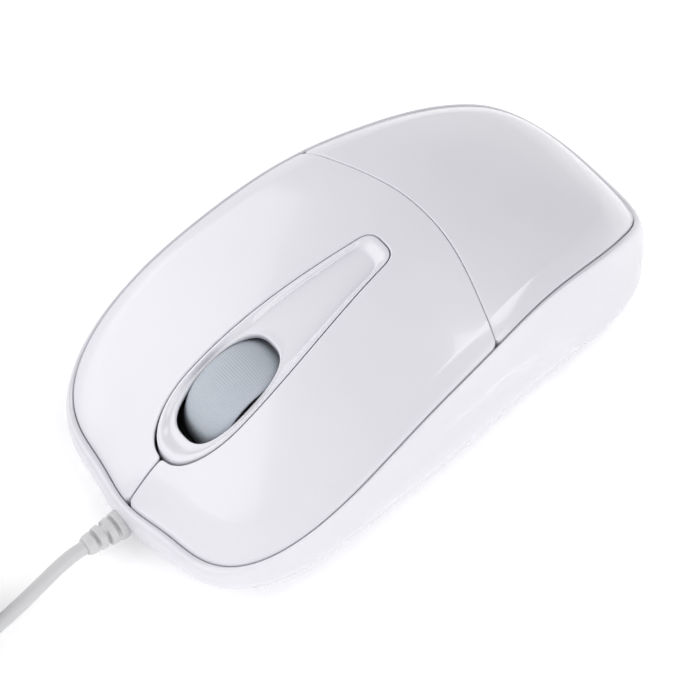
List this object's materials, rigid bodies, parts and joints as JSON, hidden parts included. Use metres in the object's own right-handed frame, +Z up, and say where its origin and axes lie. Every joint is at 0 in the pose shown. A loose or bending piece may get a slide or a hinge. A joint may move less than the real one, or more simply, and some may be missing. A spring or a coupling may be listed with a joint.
{
  "type": "computer mouse",
  "caption": "Wired optical computer mouse with two hinged button plates, a clickable scroll wheel, a teardrop centre trim and a coiled USB cord.",
  "frame": {"origin": "bottom centre of the mouse itself, without its cord, on the surface it stands on", "axes": "+Y towards the front where the cord leaves, +X to the user's right, +Z up"},
  "size_m": [0.0828, 0.18, 0.037],
  "materials": {
    "shell_plastic": "glossy white moulded plastic",
    "wheel_rubber": "grey soft rubber with fine cross ribs",
    "pale_plastic": "natural white moulded plastic",
    "dark_plastic": "black moulded plastic",
    "board_laminate": "green solder mask on glass-fibre laminate",
    "steel": "nickel-plated steel",
    "lens_plastic": "clear moulded plastic",
    "led_plastic": "red tinted epoxy",
    "switch_button": "red moulded plastic",
    "cord_jacket": "satin light grey flexible plastic",
    "glide_plastic": "waxy low-friction plastic",
    "tie_plastic": "white flexible plastic"
  },
  "bodies": {
    "root": {"base_shell": "shell_plastic", "palm_cover": "shell_plastic", "button_bridge": "shell_plastic", "centre_trim": "shell_plastic", "cradle_spring": "steel", "circuit_board": "board_laminate", "left_switch": "dark_plastic", "right_switch": "dark_plastic", "wheel_switch": "dark_plastic", "sensor_chip": "dark_plastic", "sensor_lens": "lens_plastic", "sensor_led": "led_plastic", "cable_header": "pale_plastic", "cable_connector": "pale_plastic", "inner_lead": "cord_jacket", "capacitor": "dark_plastic", "board_screw_1": "steel", "board_screw_2": "steel", "case_screw": "steel", "front_left_foot": "glide_plastic", "front_right_foot": "glide_plastic", "rear_left_foot": "glide_plastic", "rear_right_foot": "glide_plastic", "strain_relief": "cord_jacket", "cord_run": "cord_jacket", "cord_coil": "cord_jacket", "cord_tail": "cord_jacket", "cord_tie": "tie_plastic", "usb_overmould": "cord_jacket", "usb_shell": "steel", "usb_tongue": "pale_plastic"},
    "left_button": {"left_button": "shell_plastic"},
    "right_button": {"right_button": "shell_plastic"},
    "wheel_cradle": {"wheel_cradle": "pale_plastic", "wheel_encoder": "dark_plastic"},
    "wheel": {"wheel_hub": "pale_plastic", "wheel_tyre": "wheel_rubber"},
    "left_plunger": {"left_plunger": "switch_button"},
    "right_plunger": {"right_plunger": "switch_button"},
    "wheel_plunger": {"wheel_plunger": "switch_button"}
  },
  "joints": [
    {"name": "left_button_press", "type": "hinge", "parent": "root", "child": "left_button", "pos_m": [0, 0.001, 0.0335], "axis": [-1, 0, 0], "range_deg": [0, 0.95], "stiffness_Nm_per_rad": 0.87, "springref_deg": -0.53},
    {"name": "right_button_press", "type": "hinge", "parent": "root", "child": "right_button", "pos_m": [0, 0.001, 0.0335], "axis": [-1, 0, 0], "range_deg": [0, 0.95], "stiffness_Nm_per_rad": 0.87, "springref_deg": -0.53},
    {"name": "wheel_press", "type": "hinge", "parent": "root", "child": "wheel_cradle", "pos_m": [0, 0.01, 0.016], "axis": [-1, 0, 0], "range_deg": [0, 1.6], "stiffness_Nm_per_rad": 0.37, "springref_deg": -0.77, "deforming": ["cradle_spring"]},
    {"name": "wheel_spin", "type": "hinge", "parent": "wheel_cradle", "child": "wheel", "pos_m": [0, 0.02714, 0.01508], "axis": [1, 0, 0], "continuous": true},
    {"name": "left_plunger_travel", "type": "slide", "parent": "root", "child": "left_plunger", "axis": [0, 0, -1], "range_m": [0, 0.00054]},
    {"name": "right_plunger_travel", "type": "slide", "parent": "root", "child": "right_plunger", "axis": [0, 0, -1], "range_m": [0, 0.00054]},
    {"name": "wheel_plunger_travel", "type": "slide", "parent": "root", "child": "wheel_plunger", "axis": [0, 0, -1], "range_m": [0, 0.00023]}
  ],
  "couplings": [
    {"joint": "left_plunger_travel", "follows": "left_button_press", "m_per_rad": 0.032},
    {"joint": "right_plunger_travel", "follows": "right_button_press", "m_per_rad": 0.032},
    {"joint": "wheel_plunger_travel", "follows": "wheel_press", "m_per_rad": 0.008}
  ]
}
